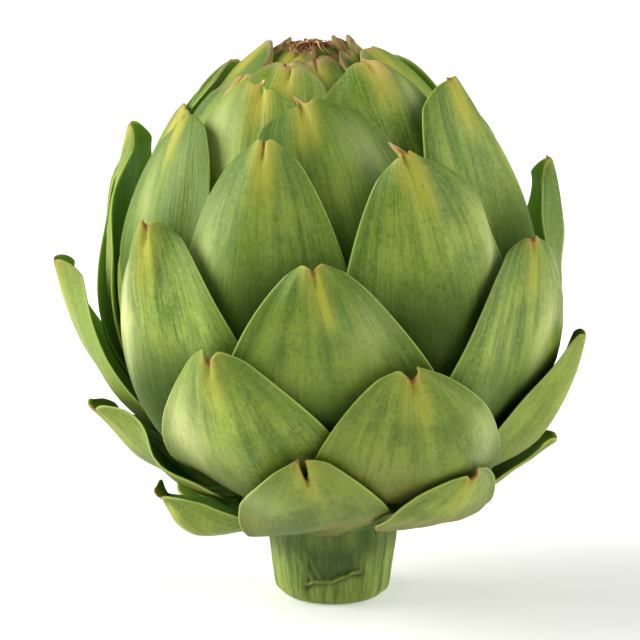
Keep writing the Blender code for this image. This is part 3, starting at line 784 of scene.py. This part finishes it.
def stem_surface(settings):
    """The stem and heart, turned from the cut face up, with ribs that are cosines of the angle round the stem, and
    the scar on its side."""
    height = STEM_TOP_HEIGHT * np.linspace(0.0, 1.0, 60) ** 1.2
    radius = stem_radius(height)
    latitude = np.linspace(math.radians(HEART_BOTTOM_LATITUDE), latitude_at(HEART_TOP_HEIGHT), 14)
    distance = core_distance(latitude)
    cut = np.array([0.0, 0.25, 0.5, 0.7, 0.85, 0.95])
    radii = np.concatenate([cut * radius[0], radius, [STEM_TOP_RADIUS], distance * np.cos(latitude), [0.0]])
    heights = np.concatenate([np.zeros(len(cut)), height, [NECK_HEIGHT],
                              CENTRE_HEIGHT + distance * np.sin(latitude), [HEART_TOP_HEIGHT]])
    points, faces = turned(radii, heights, STEM_SIDES)
    x, y, z = points.T
    around, reach = np.arctan2(x, -y), np.hypot(x, y)
    on_side = soft_step(2.0 - z / STEM_TOP_HEIGHT) * soft_step(z / (1.5 * MM))
    ribs = settings.ribs * sum(share * np.cos(count * around + phase) for count, phase, share in RIBS)
    ledge, groove, cords, layers = scar_on(around * STEM_CUT_RADIUS / MM, z / MM)
    rise = on_side * (ribs + settings.scar * (ledge - 0.4 * groove) + CORD_RISE * MM * cords)
    scale = 1.0 + rise / np.maximum(reach, 1e-6)
    layers = {name: np.clip(values, 0.0, 1.0) * on_side for name, values in layers.items()}
    layers.update({"height": z / MM, "around": around,
                   "cut": ((z < 0.02 * MM) & (reach < 0.99 * radius[0])).astype(float)})
    return on_neck(np.stack([x * scale, y * scale, z], axis=1)), faces, layers


def core_surface():
    """The bud's core, turned about Z from its flat foot to its top, with a leaf's layers, to wear the same skin."""
    bottom, top = HEART_TOP_HEIGHT + PIECE_GAP, CENTRE_HEIGHT + float(core_distance(math.pi / 2))
    latitude = np.linspace(latitude_at(bottom), math.radians(CORE_TOP_LATITUDE), 40)
    distance = core_distance(latitude)
    radius = np.concatenate([[0.0], distance * np.cos(latitude), [0.0]])
    height = np.concatenate([[bottom], CENTRE_HEIGHT + distance * np.sin(latitude), [top]])
    points, faces = turned(radius, height, CORE_SIDES)
    even = {"share": 0.3, "mid": 9.0, "tip": 30.0, "edge": 9.0, "place": 1.0, "tone": 0.0, "brown": 0.0,
            "inside": 0.0, "spine": 0.0, **dict.fromkeys(PATCHES, 0.0)}
    layers = {name: np.full(len(points), value) for name, value in even.items()}
    layers["across"] = points[:, 0] * 30.0
    return on_neck(points), faces, layers


def tube(path, radius, sides):
    """A round tube along a path: a ring of points across the path's direction at each of its points."""
    ahead = np.gradient(path, axis=0)
    ahead /= np.linalg.norm(ahead, axis=1)[:, None]
    first = np.cross(ahead, np.array([0.3, 0.2, 1.0]))
    first /= np.linalg.norm(first, axis=1)[:, None]
    second = np.cross(ahead, first)
    angle = (np.arange(sides) * 2.0 * math.pi / sides)[:, None]
    rings = path[:, None] + radius[:, None, None] * (np.cos(angle) * first[:, None] + np.sin(angle) * second[:, None])
    points = np.concatenate([path[:1], rings.reshape(-1, 3), path[-1:]])
    return points, ring_faces(len(path), sides)[:, ::-1]


def tuft_surface(settings):
    """Dry fibres: round tubes that leave the top of the bud and lie down over it, each thinning to its end.

    A fibre's point is a direction that falls from straight up along its length and wanders by a drift and a curl,
    carried out to the core plus a clearance and a hump, which is a sine of the fibre's share.
    """
    random = np.random.default_rng(SEED)
    share = np.linspace(0.0, 1.0, 12)
    parts = []
    for number in range(settings.strands):
        heading = random.uniform(0.0, 2.0 * math.pi)
        length = settings.strand_length * random.uniform(0.35, 1.0)
        start = random.uniform(0.2, 2.2) * MM
        drift, curl = random.normal(0.0, 0.5), random.uniform(3.0, 7.0)
        hump = random.uniform(0.2, 1.4)
        thick = random.uniform(0.14, 0.34) * MM * (1.0 - 0.75 * share)
        fall = (start + length * share) / TOP_DISTANCE
        azimuth = heading + drift * share + 0.4 * np.sin(curl * share) * (1.0 - share)
        ray = np.stack([np.sin(fall) * np.sin(azimuth), -np.sin(fall) * np.cos(azimuth), np.cos(fall)], axis=1)
        stand = (0.4 + hump * np.sin(math.pi * np.clip(share * 0.9 + 0.1, 0.0, 1.0))) * MM
        path = ray * (core_distance(math.pi / 2 - fall) + TUFT_CLEARANCE + stand)[:, None]
        points, faces = tube(path + CENTRE_HEIGHT * UP, thick, FIBRE_SIDES)
        parts.append((on_neck(points), faces, {"tint": np.full(len(points), (number * 0.37) % 1.0)}))
    return merged(parts)


# ---- settings

def colour(name, description, *shade):
    """A colour that a user may change."""
    return FloatVectorProperty(name=name, description=description, subtype="COLOR", size=3, min=0.0, max=1.0,
                               default=linear(*shade))


def size(name, description, millimetres):
    """A small size that a user may change."""
    return FloatProperty(name=name, description=description, default=millimetres * MM, min=0.0, unit="LENGTH",
                         precision=5)


class ArtichokeColours(bpy.types.PropertyGroup):
    """Colours of the artichoke and its studio."""
    # Also the colour of the painted shade at the leaves' feet and low on the lowest leaves.
    leaf_dark: colour("Leaf, dark", "Dark of the leaf's veins and foot", 44, 68, 14)
    leaf_deep: colour("Leaf, deep", "Deeper green of the leaf", 80, 109, 26)
    leaf_mid: colour("Leaf, middle", "Middle green of the leaf", 106, 134, 38)
    leaf_light: colour("Leaf, light", "Pale green between the veins", 154, 170, 68)
    leaf_olive: colour("Leaf, olive", "Yellower green of the lowest leaves", 136, 148, 52)
    leaf_gold: colour("Leaf, gold", "Yellow-green under the tip", 192, 182, 64)
    streak: colour("Streak", "Yellow streak under the notch", 160, 164, 46)
    margin: colour("Margin", "Thin pale line along the margin", 172, 186, 84)
    bloom: colour("Bloom", "Greyish bloom on the skin", 172, 186, 100)
    # Colour of the painted highlights on the sides of single leaves.
    painted_highlight: colour("Wax", "Palest bloom, on the sides of single leaves", 206, 212, 140)
    speckle: colour("Speckle", "Small dark spots", 58, 66, 26)
    pink: colour("Pink", "Faint flush on an upper leaf", 196, 150, 134)
    blush: colour("Blush", "Brownish blotches low on the lowest leaves", 128, 96, 60)
    # Also the colour of the painted shade on the heart.
    inside_dark: colour("Inside, dark", "Darkest green of the leaf's inner face", 62, 104, 28)
    inside_light: colour("Inside, light", "Lighter green of the leaf's inner face", 104, 152, 46)
    tan: colour("Tan", "Drying skin round the notch", 176, 140, 62)
    dead: colour("Dead", "Dead skin in the notch and on the spine", 112, 62, 28)
    husk: colour("Husk", "Pale dry fibre", 214, 178, 122)
    stem_dark: colour("Stem, dark", "Grooves of the stem", 40, 68, 20)
    stem_mid: colour("Stem, middle", "Skin of the stem", 88, 112, 38)
    stem_light: colour("Stem, light", "Ribs of the stem", 128, 146, 62)
    flesh: colour("Flesh", "Cut face of the stem", 206, 206, 150)
    floor: colour("Floor", "Pale floor", 246, 246, 244)


class LeafSettings(bpy.types.PropertyGroup):
    """Sizes of the leaves' relief."""
    ripple: size("Ripple", "Height of the flutes along a leaf", 0.10)


class StemSettings(bpy.types.PropertyGroup):
    """Sizes of the stem's relief."""
    ribs: size("Ribs", "Height of the stem's ribs", 0.22)
    scar: size("Scar", "Height of the scar's ledge", 0.5)


class TuftSettings(bpy.types.PropertyGroup):
    """Sizes of the dry tuft."""
    strands: IntProperty(name="Strands", description="How many dry fibres lie on the top", default=70, min=1)
    strand_length: size("Strand length", "Length of the longest dry fibre", 6.0)


class StudioSettings(bpy.types.PropertyGroup):
    """Camera and light."""
    distance: FloatProperty(name="Distance", description="From the camera to the artichoke", default=0.6,
                            unit="LENGTH")
    elevation: FloatProperty(name="Elevation", description="The camera's height above the horizon",
                             default=math.radians(12), subtype="ANGLE")
    lens: FloatProperty(name="Lens", description="Focal length in millimetres", default=158.0)
    key: FloatProperty(name="Key light", description="Power of the soft light on the left", default=4.9)
    sky: FloatProperty(name="Surrounding light", description="Strength of the even light all round", default=0.25)


# ---- operators

class ARTICHOKE_OT_stem(bpy.types.Operator):
    """Build the stem and heart"""
    bl_idname = "artichoke.stem"
    bl_label = "Stem"

    def execute(self, context):
        scene = context.scene
        surface = stem_surface(scene.artichoke_stem)
        make_piece("stem_skin", surface, stem_material(scene.artichoke_colours), "stem")
        return {"FINISHED"}


class ARTICHOKE_OT_leaves(bpy.types.Operator):
    """Build every loose leaf over its own solid"""
    bl_idname = "artichoke.leaves"
    bl_label = "Leaves"

    def execute(self, context):
        scene = context.scene
        skin = leaf_material("leaf skin", scene.artichoke_colours, 0.0)
        spiral = make_spiral()
        for bract in spiral[:LOOSE_BRACTS]:
            surface = blade_surface(spiral, bract, scene.artichoke_leaves.ripple)
            make_piece(f"leaf_{bract.place + 1:02d}", surface, skin, f"bract_{bract.place + 1:02d}")
        return {"FINISHED"}


class ARTICHOKE_OT_bud(bpy.types.Operator):
    """Build the closed bud and its inner leaves"""
    bl_idname = "artichoke.bud"
    bl_label = "Bud"

    def execute(self, context):
        skin = leaf_material("bud skin", context.scene.artichoke_colours, 0.8)
        spiral = make_spiral()
        parts = [core_surface()] + [blade_surface(spiral, bract, 0.0) for bract in spiral[LOOSE_BRACTS:]]
        make_piece("bud_leaves", merged(parts), skin, "bud")
        return {"FINISHED"}


class ARTICHOKE_OT_tuft(bpy.types.Operator):
    """Build the dry fibres at the top"""
    bl_idname = "artichoke.tuft"
    bl_label = "Tuft"

    def execute(self, context):
        scene = context.scene
        make_piece("tuft", tuft_surface(scene.artichoke_tuft), fibre_material(scene.artichoke_colours))
        return {"FINISHED"}


def aim(item, place, direction):
    """Set a lamp or camera at a place, looking in a direction."""
    item.location = place
    item.rotation_euler = direction.to_track_quat("-Z", "Y").to_euler()


class ARTICHOKE_OT_studio(bpy.types.Operator):
    """Set the floor, lights and camera"""
    bl_idname = "artichoke.studio"
    bl_label = "Studio"

    def execute(self, context):
        scene, settings = context.scene, context.scene.artichoke_studio
        line = np.linspace(-FLOOR_REACH, FLOOR_REACH, FLOOR_POINTS)
        x, y = (g.ravel() for g in np.meshgrid(line, line))
        mesh = bpy.data.meshes.new("floor")
        mesh.from_pydata(np.stack([x, y, np.zeros(len(x))], axis=1).tolist(), [],
                         grid_faces(np.arange(len(x)).reshape(FLOOR_POINTS, FLOOR_POINTS)).tolist())
        mesh.materials.append(floor_material(scene.artichoke_colours))
        add_object("floor", mesh)

        back = Vector((0.0, -math.cos(settings.elevation), math.sin(settings.elevation)))
        camera = add_object("camera", bpy.data.cameras.new("camera"))
        camera.data.lens, camera.data.sensor_width = settings.lens, SENSOR_WIDTH
        aim(camera, Vector(CAMERA_TARGET) + settings.distance * back, -back)
        scene.camera = camera

        for name, (place, width, share) in SUNS.items():
            lamp = bpy.data.lights.new(name, "SUN")
            lamp.energy, lamp.angle, lamp.color = settings.key * share, math.radians(width), SUN_COLOUR
            aim(add_object(name, lamp), place, -Vector(place))
        scene.world = bpy.data.worlds.new("surround")
        scene.world.use_nodes = True
        background = scene.world.node_tree.nodes["Background"]
        background.inputs["Color"].default_value = (1.0, 1.0, 1.0, 1.0)
        background.inputs["Strength"].default_value = settings.sky
        scene.view_settings.view_transform = "Standard"
        return {"FINISHED"}


class ARTICHOKE_PT_panel(bpy.types.Panel):
    """Lists the artichoke's pieces"""
    bl_idname = "ARTICHOKE_PT_panel"
    bl_label = "Artichoke"
    bl_space_type = "VIEW_3D"
    bl_region_type = "UI"
    bl_category = "Artichoke"

    def draw(self, context):
        for operator in OPERATORS:
            self.layout.operator(operator.bl_idname)
        for name in SETTINGS:
            group = getattr(context.scene, name)
            for key in group.bl_rna.properties.keys():
                if key not in {"rna_type", "name"}:
                    self.layout.prop(group, key)


OPERATORS = (ARTICHOKE_OT_stem, ARTICHOKE_OT_leaves, ARTICHOKE_OT_bud, ARTICHOKE_OT_tuft, ARTICHOKE_OT_studio)
SETTINGS = {"artichoke_colours": ArtichokeColours, "artichoke_leaves": LeafSettings, "artichoke_stem": StemSettings,
            "artichoke_tuft": TuftSettings, "artichoke_studio": StudioSettings}


def register():
    """Register the classes and hang the settings on the scene."""
    for item in (*SETTINGS.values(), *OPERATORS, ARTICHOKE_PT_panel):
        bpy.utils.register_class(item)
    for name, group in SETTINGS.items():
        setattr(bpy.types.Scene, name, PointerProperty(type=group))


def unregister():
    """Undo register."""
    for name in SETTINGS:
        delattr(bpy.types.Scene, name)
    for item in (ARTICHOKE_PT_panel, *OPERATORS, *SETTINGS.values()):
        bpy.utils.unregister_class(item)


def main():
    """Build everything in order."""
    register()
    bpy.ops.artichoke.stem()
    bpy.ops.artichoke.leaves()
    bpy.ops.artichoke.bud()
    bpy.ops.artichoke.tuft()
    bpy.ops.artichoke.studio()


if __name__ == "__main__":
    main()
